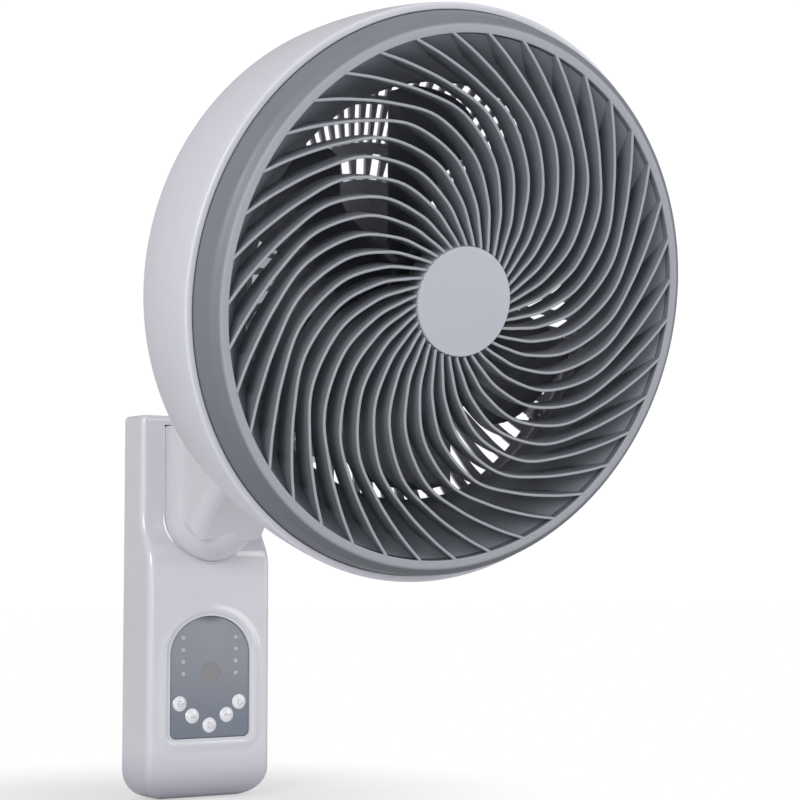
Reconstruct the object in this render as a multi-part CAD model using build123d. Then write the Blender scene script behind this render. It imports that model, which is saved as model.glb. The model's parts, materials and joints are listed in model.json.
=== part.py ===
from build123d import *
from math import cos, radians, sin, sqrt
import os

# Wall mounted fan. Millimetres, +Z up, the wall is the plane Y = 0 and the fan faces -Y.
# The origin is the centre of the wall plate's back face.

# ---- driving dimensions ---------------------------------------------------------------
# bracket on the wall
BRACKET_W = 107.6
BRACKET_H = 300.0
UPPER_DEPTH = 30.6            # front face of the upper body, from the wall
LOWER_DEPTH = 45.0            # front face of the lower body, round the control panel
RAMP_TOP_Z = 72.0             # the lower body starts to swell here
RAMP_END_Z = 30.0             # and is at its full depth here
TOP_CORNER_R = 4.0
FOOT_R = 23.0                 # round bottom corners and bottom edge
FRONT_EDGE_R = 5.0
CRADLE_EDGE_R = 3.0           # round lip of the cradle
BACK_SHELL_DEPTH = 12.0
WALL = 2.5                    # thickness of the moulded walls
PLATE_T = 2.0                 # steel wall plate
PLATE_W = 78.0
PLATE_H = 236.0
WALL_HOLE_X = 56.0            # spacing of the four wall screws, across and up
WALL_HOLE_Z = 190.0
WALL_HOLE_R = 2.5

# neck arm, fixed in the bracket's cradle
COLUMN_Y = -45.0
COLUMN_R = 36.5
CRADLE_Z = 72.0               # centre of the column's round foot
COLUMN_TOP_Z = 141.0
CHANNEL_GAP = 0.3             # all round the column
CHANNEL_TOP_Z = 142.5
ARM_HALF_W = 33.0
ARM_EDGE_R = 12.0
POD_R = 25.0                  # round end of the arm that holds the swivel motor
POD_FOOT_Z = 110.0
POD_TOP_Z = 144.0
BUSH_GAP = 0.05               # running clearance of every turning fit

# head: shell front edge at z = 0 of its own frame, forward is +z, up is +y
HEAD_TILT = 12.7              # degrees down from level, as it hangs at rest
HEAD_Y = -372.7
HEAD_Z = 210.2
HINGE_DROP = 80.0             # tilt bolt below the fan axis
HINGE_BACK = 160.0            # tilt bolt behind the shell's front edge
KNUCKLE_R = 12.0
TONGUE_HALF_W = 14.0
CHEEK_T = 9.0
CHEEK_R = 13.0
TILT_BOLT_R = 4.0
TURNTABLE_T = 6.0

SHELL_R = 194.0               # drum shell, outside at its front lip
LIP_INNER_R = 189.2
LIP_DEPTH = 7.0
LEDGE_R = 184.0
SHELL_T = 3.0
SHOULDER_AXIS_R = 157.0       # centre of the round rear shoulder
SHOULDER_AXIS_Z = -72.0
SHOULDER_R = 28.0
SHOULDER_START = 12.8         # degrees of it where the barrel runs into it
SEAM_Z = -84.0                # the shell ends here and the rear grille goes on
SHELL_SCREW_R = 174.0
DOME_START = 76.0             # degrees of the shoulder where the grille's dome begins
DOME_Z = -112.0               # rear grille at its middle
GRILLE_T = 3.0
PLATE_EDGE_R = 66.0           # flat middle of the rear grille
BEARING_HOLE_R = 24.0
SLOT_BANDS = (                # count, inner radius, outer radius, slot width
    (42, 71.0, 89.0, 7.6),
    (84, 97.0, 124.0, 4.8),
    (84, 130.0, 176.0, 6.8),
)
BEZEL_R = 188.3               # front grille: outside of its bezel
RIM_R = 174.4                 # inside of its front rim
RIM_Z = 20.5
RIM_W = 4.8
SKIRT_R = 175.2
SKIRT_T = 2.4
DUCT_MOUTH_R = 174.2          # air duct ring: a funnel behind the vanes
DUCT_MOUTH_Z = 16.5
DUCT_THROAT_R = 141.5
DUCT_END_Z = -25.0
DUCT_T = 2.2
VANES = 39
VANE_T = 2.0
VANE_DEPTH = 18.0
VANE_PHASE = 7.7
VANE_PATH = (                 # radius and sweep in degrees of one vane, hub to rim
    (33.0, -8.0), (48.0, 1.5), (68.0, 9.7), (95.6, 21.1),
    (123.0, 35.4), (141.6, 48.3), (160.0, 58.8), (176.0, 66.2),
)
HUB_R = 37.5
CAP_R = 36.5
CAP_Z = 23.0
CAP_DOME_R = 440.0

# rotor and motor, along the same axis
BLADES = 6
BLADE_PHASE = 53.0            # degrees from +x to the straight edge of one blade
BLADE_TIP_R = 136.0
BLADE_T = 2.4
BLADE_MID_Z = -44.0
FAN_HUB_R = 34.0
SHAFT_R = 4.0
STATOR_R = 50.0
STATOR_FRONT_Z = -122.0
STATOR_REAR_Z = -148.0
ROTOR_CORE_R = 28.0
AIR_GAP = 0.5
BEARING_R = 11.0
COVER_R = 62.0
COVER_REAR_Z = -182.0

# control panel
PANEL_W = 70.0
PANEL_H = 94.6
PANEL_ARCH_H = 30.0           # height of its half-ellipse top
PANEL_TOP_Z = -7.7
PANEL_FACE = 43.7             # from the wall
PANEL_T = 2.4
BUTTON_R = 6.0
BUTTON_TRAVEL = 1.0
BUTTON_PLACES = (             # x and z
    (-26.2, -75.3), (-15.2, -85.1), (0.0, -92.7), (15.2, -85.1), (26.2, -75.3),
)
LED_X = 23.2
LED_TOP_Z = -24.4
LED_PITCH = 9.3
LED_R = 2.0
IR_Z = -51.9
IR_WINDOW_R = 8.5
PANEL_GAP = 0.3
BOARD_FACE = 32.0             # front of the control board, from the wall
BOARD_TOP_Z = -10.0
BOARD_H = 103.0
BOARD_W = 68.6

# fixings
NECK_SCREWS = ((-12.0, 88.0), (12.0, 88.0), (-12.0, 126.0), (12.0, 126.0))
CASE_SCREWS = ((-44.0, 118.0), (44.0, 118.0), (-44.0, -112.0), (44.0, -112.0))
PLATE_SCREWS = ((-34.0, 60.0), (34.0, 60.0), (-34.0, -60.0), (34.0, -60.0))
BOARD_POSTS = ((-30.0, -15.0), (30.0, -15.0), (-30.0, -108.5), (30.0, -108.5))
POWER_POSTS = ((-38.0, 2.0), (38.0, 2.0), (-38.0, -98.0), (38.0, -98.0))
CABLE_HOLE_Z = -118.0
MOTOR_SCREW_R = 47.0
COVER_SCREW_R = 58.5
STATOR_TEETH = 12
VANE_STATIONS = 11

PANEL_BOTTOM_Z = PANEL_TOP_Z - PANEL_H

HEAD = Plane(origin=(0, HEAD_Y, HEAD_Z), x_dir=(1, 0, 0),
             z_dir=(0, -cos(radians(HEAD_TILT)), -sin(radians(HEAD_TILT))))
HINGE = HEAD.from_local_coords(Vector(0, -HINGE_DROP, -HINGE_BACK))
YOKE_Z = POD_TOP_Z + 1.0 + BUSH_GAP

os.makedirs("parts", exist_ok=True)
nodes = {}


def keep(name, shape):
    """Store one node, a single solid or a group of separate ones."""
    solids = shape.solids()
    nodes[name] = solids[0] if len(solids) == 1 else Compound(children=list(solids))


def in_head(shape):
    return HEAD.location * shape


def ring(outer, inner, low, high):
    return Pos(0, 0, low) * extrude(Circle(outer) - Circle(inner), high - low)


def disc(radius, low, high):
    return Pos(0, 0, low) * extrude(Circle(radius), high - low)


def across(outline, half_width):
    """Prism across X from a closed outline drawn in (y, z)."""
    return extrude(Plane.YZ * make_face(outline), half_width, both=True)


def screw(length, radius=1.6, head_r=3.0, head_t=2.2):
    """Pan-head screw pointing down -z, head on z = 0..head_t, cross recess on top."""
    body = disc(head_r, 0, head_t) + disc(radius, -length, 0)
    body = fillet(body.edges().filter_by(GeomType.CIRCLE).group_by(Axis.Z)[-1], head_t * 0.4)
    cross = Box(head_r * 1.2, 0.8, 1.6) + Box(0.8, head_r * 1.2, 1.6)
    return body - Pos(0, 0, head_t) * cross


def to_front(x, z, depth=0.0):
    """Location whose +z points out of the wall, at (x, -depth, z)."""
    return Location(Plane(origin=(x, -depth, z), x_dir=(1, 0, 0), z_dir=(0, -1, 0)))


# ---- bracket --------------------------------------------------------------------------
def bracket_front_view(inset):
    """Front outline of the bracket: small top corners, large round bottom corners."""
    outline = Rectangle(BRACKET_W - 2 * inset, BRACKET_H - 2 * inset)
    top_r = max(TOP_CORNER_R - inset, 0.8)
    outline = fillet(outline.vertices().group_by(Axis.Y)[-1], top_r)
    return fillet(outline.vertices().group_by(Axis.Y)[0], FOOT_R - inset)


def bracket_body(inset):
    """Front shell as a full body: its side outline and front outline in common."""
    high = BRACKET_H / 2 - inset
    upper = -(UPPER_DEPTH - inset)
    lower = -(LOWER_DEPTH - inset)
    foot = FOOT_R - inset
    middle_z = (RAMP_TOP_Z + RAMP_END_Z) / 2
    middle_y = (upper + lower) / 2
    outline = [
        Line((0, high), (upper, high)),
        Line((upper, high), (upper, RAMP_TOP_Z)),
        TangentArc((upper, RAMP_TOP_Z), (middle_y, middle_z), tangent=(0, -1)),
        TangentArc((lower, RAMP_END_Z), (middle_y, middle_z), tangent=(0, 1)),
        Line((lower, RAMP_END_Z), (lower, foot - high)),
        TangentArc((lower, foot - high), (lower + foot, -high), tangent=(0, -1)),
        Line((lower + foot, -high), (0, -high)),
        Line((0, -high), (0, high)),
    ]
    front = extrude(to_front(0, 0) * bracket_front_view(inset), 60)
    return across(outline, BRACKET_W) & front


def column_space(radius, top):
    """Upright round column with a hemispherical foot, about the column's axis."""
    shaft = Pos(0, COLUMN_Y, CRADLE_Z) * extrude(Circle(radius), top - CRADLE_Z)
    return shaft + Pos(0, COLUMN_Y, CRADLE_Z) * Sphere(radius)


def panel_outline(grow=0.0):
    """Arched panel: half-ellipse top, straight sides and small bottom corners."""
    half = PANEL_W / 2 + grow
    spring_z = PANEL_TOP_Z - PANEL_ARCH_H
    box_h = spring_z - PANEL_BOTTOM_Z + grow
    lower = Pos(0, spring_z - box_h / 2) * Rectangle(2 * half, box_h)
    lower = fillet(lower.vertices().group_by(Axis.Y)[0], 5.0 + grow)
    return lower + Pos(0, spring_z) * Ellipse(half, PANEL_ARCH_H + grow)


def on_channel(edge):
    """True for the front edges of the cradle, where its channel meets the front face."""
    spots = [edge.position_at(t) for t in (0.1, 0.5, 0.9)]
    radius = COLUMN_R + CHANNEL_GAP
    reach = [(p - Vector(0, COLUMN_Y, min(max(p.Z, CRADLE_Z), CHANNEL_TOP_Z))).length for p in spots]
    return all(abs(r - radius) < 0.1 for r in reach[::2]) and spots[1].Y < -UPPER_DEPTH + 1.0


def make_front_shell():
    channel = column_space(COLUMN_R + CHANNEL_GAP, CHANNEL_TOP_Z)
    lining = column_space(COLUMN_R + CHANNEL_GAP + WALL, CHANNEL_TOP_Z + WALL)
    body = bracket_body(0)
    body = fillet(body.edges().filter_by(lambda e: e.center().Y < -20), FRONT_EDGE_R)
    body = body - channel
    body = fillet(body.edges().filter_by(on_channel), CRADLE_EDGE_R)
    body = body & Pos(0, -50 - BACK_SHELL_DEPTH, 0) * Box(200, 100, 400)
    shell = body - (bracket_body(WALL) - lining)
    back = PANEL_FACE - PANEL_T
    ledge = extrude(to_front(0, 0, back - 2.0) * panel_outline(2.0), 2.0) & bracket_body(0.5)
    shell = shell + ledge
    shell = shell - extrude(to_front(0, 0, back) * panel_outline(PANEL_GAP), 20)
    shell = shell - extrude(to_front(0, 0, back - 3.0) * panel_outline(-1.6), 20)
    for x, z in CASE_SCREWS:
        reach = (UPPER_DEPTH if z > 0 else LOWER_DEPTH) - WALL + 0.1
        shell = shell + to_front(x, z) * disc(4.5, BACK_SHELL_DEPTH, reach)
    for x, z in BOARD_POSTS:
        shell = shell + to_front(x, z) * disc(2.8, BOARD_FACE, LOWER_DEPTH - WALL)
    for x, z in CASE_SCREWS:
        shell = shell - to_front(x, z) * disc(1.6, BACK_SHELL_DEPTH - 1, 23)
    for x, z in BOARD_POSTS:
        shell = shell - to_front(x, z) * disc(1.2, BOARD_FACE - 1, BOARD_FACE + 7)
    keep("bracket_front_shell", shell)


def make_back_shell():
    tray = extrude(to_front(0, 0) * bracket_front_view(0), BACK_SHELL_DEPTH)
    tray = tray - extrude(to_front(0, 0, PLATE_T + 2.0) * bracket_front_view(WALL), 40)
    tray = tray - extrude(to_front(0, 0) * Rectangle(PLATE_W + 1, PLATE_H + 1), PLATE_T)
    column = column_space(COLUMN_R, COLUMN_TOP_Z)
    for x, z in CASE_SCREWS:
        tray = tray + to_front(x, z) * disc(5.5, PLATE_T + 1.0, BACK_SHELL_DEPTH)
    for x, z in NECK_SCREWS:
        tray = tray + (to_front(x, z) * disc(5.5, PLATE_T + 1.0, BACK_SHELL_DEPTH) - column)
    for x, z in POWER_POSTS:
        tray = tray + to_front(x, z) * (disc(3.0, PLATE_T + 1.0, 13.0) - disc(1.2, 5.0, 14.0))
    for x, z in CASE_SCREWS + NECK_SCREWS:
        tray = tray - to_front(x, z) * disc(1.8, -1, 20) - to_front(x, z) * disc(3.4, -1, 5.0)
    for x, z in PLATE_SCREWS:
        tray = tray - to_front(x, z) * disc(1.5, 0, 6)
    keep("bracket_back_shell", tray - to_front(0, CABLE_HOLE_Z) * disc(8, -1, 20))


# ---- neck -----------------------------------------------------------------------------
def neck_body(inset):
    """Column with a round foot, flat arm and round pod, as one solid."""
    top = COLUMN_TOP_Z - inset
    pod_y = HINGE.Y
    column = column_space(COLUMN_R - inset, top)
    outline = [
        Line((COLUMN_Y, top), (pod_y, POD_TOP_Z - inset)),
        Line((pod_y, POD_TOP_Z - inset), (pod_y, POD_FOOT_Z + inset)),
        ThreePointArc((pod_y, POD_FOOT_Z + inset), (-130, 96 + inset), (-74, 52 + inset)),
        Line((-74, 52 + inset), (COLUMN_Y, 60)),
        Line((COLUMN_Y, 60), (COLUMN_Y, top)),
    ]
    arm = across(outline, ARM_HALF_W - inset)
    narrow = Pos(0, pod_y, 0) * extrude(Circle(POD_R - inset), 300)
    taper = make_face(Polyline(
        (-(ARM_HALF_W - inset), COLUMN_Y), (-(ARM_HALF_W - inset), COLUMN_Y - 60),
        (-(POD_R - inset), pod_y), (POD_R - inset, pod_y),
        (ARM_HALF_W - inset, COLUMN_Y - 60), (ARM_HALF_W - inset, COLUMN_Y), close=True))
    arm = arm & extrude(taper, 300)
    low_edges = arm.edges().filter_by(
        lambda e: abs(e.center().X) > 15 and e.center().Z < 125 and abs(e.tangent_at(0.5).X) < 0.3
        and abs(e.tangent_at(0.5).Z) < 0.95 and e.center().Y < COLUMN_Y - 1)
    arm = fillet(low_edges, ARM_EDGE_R - inset)
    pod = Pos(0, pod_y, POD_FOOT_Z + inset) * extrude(
        Circle(POD_R - inset), POD_TOP_Z - POD_FOOT_Z - 2 * inset)
    pod = fillet(pod.edges().group_by(Axis.Z)[0], ARM_EDGE_R - inset)
    return column + arm + pod


def make_neck():
    inside = neck_body(1.0)
    shell = neck_body(0) - neck_body(WALL)
    for x, z in NECK_SCREWS:
        shell = shell + (to_front(x, z) * disc(4.5, 8.0, 26.0) & inside)
        shell = shell - to_front(x, z) * disc(1.6, 0, 24.0)
    shell = shell - Pos(0, HINGE.Y, 0) * disc(9.0, POD_TOP_Z - 2 * WALL, POD_TOP_Z + 5)
    half_space = Box(300, 400, 400)
    keep("neck_left_shell", shell & Pos(-150, -150, 100) * half_space)
    keep("neck_right_shell", shell & Pos(150, -150, 100) * half_space)
    keep("neck_screws", Compound(children=[
        to_front(x, z, 5.0) * Rot(180, 0, 0) * screw(16.0, 1.6, 3.0, 2.0) for x, z in NECK_SCREWS]))


def make_swivel():
    at = Pos(0, HINGE.Y, 0)
    seat_z = POD_TOP_Z - 2.0 * WALL
    bush = ring(9.0, 5.0 + BUSH_GAP, seat_z, POD_TOP_Z)
    bush = bush + ring(15.0, 5.0 + BUSH_GAP, POD_TOP_Z, POD_TOP_Z + 1.0)
    keep("swivel_bush", at * bush)
    motor = disc(19.0, 118.0, 134.0) + disc(6.0, 134.0, 135.5)
    ears = Pos(0, 0, 133.0) * extrude(RectangleRounded(46.0, 12.0, 5.0), 1.0)
    ears = ears - Pos(20.5, 0, 0) * disc(1.0, 130, 136) - Pos(-20.5, 0, 0) * disc(1.0, 130, 136)
    motor = motor + (ears & disc(POD_R - WALL, 130, 136))
    keep("swivel_motor", at * (motor - disc(2.5 + BUSH_GAP, 126.0, 140.0)))

    shaft = disc(2.5, 126.5, 136.5) + disc(5.0, 136.5, YOKE_Z + TURNTABLE_T)
    keep("swivel_shaft", at * shaft)
    table = disc(POD_R - 1.0, YOKE_Z, YOKE_Z + TURNTABLE_T)
    table = fillet(table.edges().group_by(Axis.Z)[-1], 1.5) - disc(5.0, 0, 300)
    yoke = at * table
    for side in (-1, 1):
        x = side * (TONGUE_HALF_W + 0.3 + CHEEK_T / 2)
        eye = Pos(x, HINGE.Y, HINGE.Z) * Rot(0, 90, 0) * Cylinder(CHEEK_R, CHEEK_T)
        foot = Pos(x, HINGE.Y, (HINGE.Z + YOKE_Z) / 2) * Box(
            CHEEK_T, 2 * CHEEK_R, HINGE.Z - YOKE_Z)
        yoke = yoke + ((eye + foot) & at * disc(POD_R + 2.0, YOKE_Z, 200))
    across_bolt = Pos(0, HINGE.Y, HINGE.Z) * Rot(0, 90, 0)
    keep("swivel_yoke", yoke - across_bolt * Cylinder(TILT_BOLT_R, 80))
    reach = TONGUE_HALF_W + 0.3 + CHEEK_T
    bolt = disc(TILT_BOLT_R, -reach, reach + 8)
    bolt = bolt + Pos(0, 0, -reach - 4) * extrude(RegularPolygon(7.0, 6), 4)
    keep("tilt_bolt", across_bolt * bolt)
    nut = Pos(0, 0, reach) * extrude(RegularPolygon(7.5, 6), 6.0)
    keep("tilt_nut", across_bolt * (nut - disc(TILT_BOLT_R, 0, reach + 10)))


# ---- head shells ----------------------------------------------------------------------
def shoulder(radius, angle):
    """Point of the round rear shoulder in (r, z), and the direction it runs in."""
    turn = radians(angle)
    point = (SHOULDER_AXIS_R + radius * cos(turn), SHOULDER_AXIS_Z - radius * sin(turn))
    return point, (-sin(turn), -cos(turn))


def shoulder_at(radius, z):
    """Radius of the rear shoulder at one z."""
    return SHOULDER_AXIS_R + sqrt(radius ** 2 - (SHOULDER_AXIS_Z - z) ** 2)


def shell_screw_places():
    """Six screws through the rear grille's rim into the shell, heads at the back."""
    return [Rot(0, 0, 30 + 60 * i) * Pos(SHELL_SCREW_R, 0, 0) for i in range(6)]


def make_drum_shell():
    thin_r = SHOULDER_R - SHELL_T
    outside, heading = shoulder(SHOULDER_R, SHOULDER_START)
    inside, _ = shoulder(thin_r, SHOULDER_START)
    half_way, _ = shoulder(SHOULDER_R, 19.0)
    thin_half_way, _ = shoulder(thin_r, 17.0)
    rear = (shoulder_at(SHOULDER_R, SEAM_Z), SEAM_Z)
    flange_r = 176.5
    flange_z = SEAM_Z + SHELL_T
    thin_rear = (shoulder_at(thin_r, flange_z), flange_z)
    forward = (-heading[0], -heading[1])
    outline = [
        Line((LIP_INNER_R, 0), (SHELL_R - 1.5, 0)),
        RadiusArc((SHELL_R - 1.5, 0), (SHELL_R, -1.5), 1.5),
        TangentArc(outside, (SHELL_R, -1.5), tangent=forward),
        ThreePointArc(outside, half_way, rear),
        Line(rear, (flange_r, SEAM_Z)),
        Line((flange_r, SEAM_Z), (flange_r, flange_z)),
        Line((flange_r, flange_z), thin_rear),
        ThreePointArc(thin_rear, thin_half_way, inside),
        TangentArc(inside, (SHELL_R - SHELL_T - 0.3, -12), tangent=forward),
        Line((SHELL_R - SHELL_T - 0.3, -12), (LEDGE_R, -12)),
        Line((LEDGE_R, -12), (LEDGE_R, -LIP_DEPTH)),
        Line((LEDGE_R, -LIP_DEPTH), (LIP_INNER_R, -LIP_DEPTH)),
        Line((LIP_INNER_R, -LIP_DEPTH), (LIP_INNER_R, 0)),
    ]
    shell = revolve(Plane.XZ * make_face(outline), Axis.Z, 360)
    for place in shell_screw_places():
        shell = shell + place * disc(4.5, SEAM_Z, SEAM_Z + 8.0)
        shell = shell - place * disc(1.6, SEAM_Z - 1, SEAM_Z + 6.5)
    keep("drum_shell", in_head(shell))
    screws = [place * Pos(0, 0, SEAM_Z - 3.0) * Rot(180, 0, 0) * screw(9.0, 1.6, 3.0, 2.0)
              for place in shell_screw_places()]
    keep("shell_screws", in_head(Compound(children=screws)))


def grille_side(inset):
    """Outline of the rear grille's outside in (r, z), from its rim to its flat middle."""
    radius = SHOULDER_R - 0.4 - inset
    rim = (shoulder_at(radius, SEAM_Z), SEAM_Z)
    bend, _ = shoulder(radius, 50.0)
    dome, heading = shoulder(radius, DOME_START)
    return rim, [
        ThreePointArc(rim, bend, dome),
        TangentArc(dome, (PLATE_EDGE_R, DOME_Z + inset), tangent=heading),
        Line((PLATE_EDGE_R, DOME_Z + inset), (BEARING_HOLE_R, DOME_Z + inset)),
    ]


def make_rear_grille():
    rim, outer = grille_side(0.0)
    thin_rim, inner = grille_side(GRILLE_T)
    wall = outer + inner + [
        Line(rim, thin_rim),
        Line((BEARING_HOLE_R, DOME_Z), (BEARING_HOLE_R, DOME_Z + GRILLE_T)),
    ]
    grille = revolve(Plane.XZ * make_face(wall), Axis.Z, 360)
    slots = []
    for count, low_r, high_r, width in SLOT_BANDS:
        slot = Pos((low_r + high_r) / 2, 0, DOME_Z - 5) * extrude(Rectangle(high_r - low_r, width), 40)
        slots += [Rot(0, 0, 360 / count * (i + 0.5)) * slot for i in range(count)]
    grille = grille - slots
    filled = outer + [
        Line((BEARING_HOLE_R, DOME_Z), (BEARING_HOLE_R, SEAM_Z)), Line((BEARING_HOLE_R, SEAM_Z), rim)]
    filled = revolve(Plane.XZ * make_face(filled), Axis.Z, 360)
    for place in shell_screw_places():
        grille = grille + (place * disc(4.5, DOME_Z, SEAM_Z) & filled)
        grille = grille - place * disc(3.3, DOME_Z, SEAM_Z - 3.0) - place * disc(1.8, DOME_Z, 0)
    for i in range(4):
        grille = grille - Rot(0, 0, 45 + 90 * i) * Pos(MOTOR_SCREW_R, 0, DOME_Z - 1) * disc(1.8, 0, 8)
        grille = grille - Rot(0, 0, 90 * i) * Pos(COVER_SCREW_R, 0, DOME_Z - 1) * disc(1.6, 0, 8)
    keep("rear_grille", in_head(grille))


def vane():
    """One curved vane: its middle line, given a thickness, drawn out along z."""
    middle = Spline(*[(r * cos(radians(a)), r * sin(radians(a))) for r, a in VANE_PATH])
    sides = {}
    for side in (-1, 1):
        points = []
        for i in range(VANE_STATIONS):
            t = i / (VANE_STATIONS - 1)
            along = middle.tangent_at(t)
            points.append(middle.position_at(t) + Vector(-along.Y, along.X) * (side * VANE_T / 2))
        sides[side] = Spline(*points)
    left, right = sides[-1], sides[1]
    face = make_face([left, Line(left @ 1, right @ 1), right, Line(right @ 0, left @ 0)])
    return extrude(face, VANE_DEPTH)


def make_front_grille():
    z = RIM_Z
    outline = [
        Line((BEZEL_R, -LIP_DEPTH), (BEZEL_R, 1.0)),
        Line((BEZEL_R, 1.0), (185.6, 16.0)),
        ThreePointArc((185.6, 16.0), (184.0, 18.9), (RIM_R + RIM_W, z)),
        Line((RIM_R + RIM_W, z), (RIM_R + 0.8, z)),
        RadiusArc((RIM_R + 0.8, z), (RIM_R, z - 0.8), -0.8),
        Line((RIM_R, z - 0.8), (SKIRT_R, -LIP_DEPTH)),
        Line((SKIRT_R, -LIP_DEPTH), (SKIRT_R + SKIRT_T, -LIP_DEPTH)),
        Line((SKIRT_R + SKIRT_T, -LIP_DEPTH), (RIM_R + 2.6, z - 3.0)),
        Line((RIM_R + 2.6, z - 3.0), (RIM_R + 5.0, z - 3.0)),
        Line((RIM_R + 5.0, z - 3.0), (BEZEL_R - 2.6, 1.0)),
        Line((BEZEL_R - 2.6, 1.0), (BEZEL_R - 2.6, -LIP_DEPTH)),
        Line((BEZEL_R - 2.6, -LIP_DEPTH), (BEZEL_R, -LIP_DEPTH)),
    ]
    grille = revolve(Plane.XZ * make_face(outline), Axis.Z, 360)
    mouth = DUCT_MOUTH_Z - DUCT_MOUTH_R + 0.3
    behind = Polyline((150, 150 + mouth), (174.9, 174.9 + mouth), (174.9, -10), (150, -10), close=True)
    blade = Pos(0, 0, RIM_Z - VANE_DEPTH - 0.01) * vane()
    blade = blade - revolve(Plane.XZ * make_face(behind), Axis.Z, 360)
    vanes = [Rot(0, 0, VANE_PHASE + 360 / VANES * i) * blade for i in range(VANES)]
    hub = disc(HUB_R, RIM_Z - VANE_DEPTH, CAP_Z - 5.0) - disc(HUB_R - 6, 0, 10)
    grille = grille + (vanes + [hub])
    grille = grille - disc(3.2, CAP_Z - 8.0, CAP_Z) - disc(CAP_R + 0.3, CAP_Z - 5.0, CAP_Z + 5.0)
    keep("front_grille", in_head(grille))
    cap = disc(CAP_R, CAP_Z - 5.0, CAP_Z) & Pos(0, 0, CAP_Z - CAP_DOME_R) * Sphere(CAP_DOME_R)
    cap = cap + disc(3.0, CAP_Z - 8.0, CAP_Z - 4.0)
    keep("hub_cap", in_head(cap))


def make_duct():
    """Funnel behind the vanes, on a short sleeve with a flange that the grille presses down."""
    bend = (DUCT_THROAT_R + 6.0, DUCT_MOUTH_Z - DUCT_MOUTH_R + DUCT_THROAT_R + 6.0)
    off = DUCT_T * sqrt(0.5)
    bend_behind = (bend[0] + off, bend[1] - off)
    sleeve_r = DUCT_MOUTH_R - DUCT_T
    join = (sleeve_r, bend_behind[1] + sleeve_r - bend_behind[0])
    outline = [
        Line((DUCT_MOUTH_R, DUCT_MOUTH_Z), bend),
        TangentArc(bend, (DUCT_THROAT_R, DUCT_END_Z), tangent=(-1, -1)),
        Line((DUCT_THROAT_R, DUCT_END_Z), (DUCT_THROAT_R + DUCT_T, DUCT_END_Z)),
        TangentArc(bend_behind, (DUCT_THROAT_R + DUCT_T, DUCT_END_Z), tangent=(-1, -1)),
        Line(bend_behind, join),
        Line(join, (sleeve_r, -LIP_DEPTH - 3.0)),
        Line((sleeve_r, -LIP_DEPTH - 3.0), (LEDGE_R, -LIP_DEPTH - 3.0)),
        Line((LEDGE_R, -LIP_DEPTH - 3.0), (LEDGE_R, -LIP_DEPTH)),
        Line((LEDGE_R, -LIP_DEPTH), (DUCT_MOUTH_R, -LIP_DEPTH)),
        Line((DUCT_MOUTH_R, -LIP_DEPTH), (DUCT_MOUTH_R, DUCT_MOUTH_Z)),
    ]
    keep("air_duct_ring", in_head(revolve(Plane.XZ * make_face(outline), Axis.Z, 360)))


# ---- rotor and motor ------------------------------------------------------------------
def blade_section(radius, chord, pitch):
    """Thin plate section across the blade at one radius, its forward edge on y = 0."""
    slope = (0, cos(radians(pitch)), sin(radians(pitch)))
    middle = (radius, -chord / 2 * cos(radians(pitch)), BLADE_MID_Z)
    return (Plane(origin=middle, x_dir=slope, z_dir=(1, 0, 0)) * Rectangle(chord, BLADE_T)).face()


def make_rotor():
    sections = [
        blade_section(26.0, 46.0, 38.0),
        blade_section(55.0, 56.0, 33.0),
        blade_section(80.0, 84.0, 28.0),
        blade_section(100.0, 84.0, 25.0),
        blade_section(122.0, 58.0, 22.0),
        blade_section(142.0, 24.0, 18.0),
    ]
    blade = loft(sections) & disc(BLADE_TIP_R, -100, 20)
    hub = ring(FAN_HUB_R, FAN_HUB_R - 3.0, -64.0, -26.0) + disc(FAN_HUB_R, -26.0, -22.0)
    hub = fillet(hub.edges().filter_by(GeomType.CIRCLE).group_by(Axis.Z)[-1], 3.0)
    hub = hub + disc(10.0, -60.0, -26.0)
    fan = hub
    for i in range(BLADES):
        fan = fan + Rot(0, 0, BLADE_PHASE + 360 / BLADES * i) * blade
    hollow = disc(FAN_HUB_R - 3.0, -90.0, -26.0) - disc(10.0, -60.0, -26.0)
    fan = fan - hollow - disc(SHAFT_R, -100, 0)
    keep("fan_blade", in_head(fan))
    nut = disc(13.0, -22.0, -12.0)
    nut = fillet(nut.edges().group_by(Axis.Z)[-1], 4.0) - disc(SHAFT_R, -30.0, -15.0)
    keep("blade_nut", in_head(nut))
    keep("motor_shaft", in_head(disc(SHAFT_R, -166.0, -15.0)))
    core = ring(ROTOR_CORE_R, SHAFT_R, STATOR_REAR_Z, STATOR_FRONT_Z)
    keep("motor_rotor", in_head(core))


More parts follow.
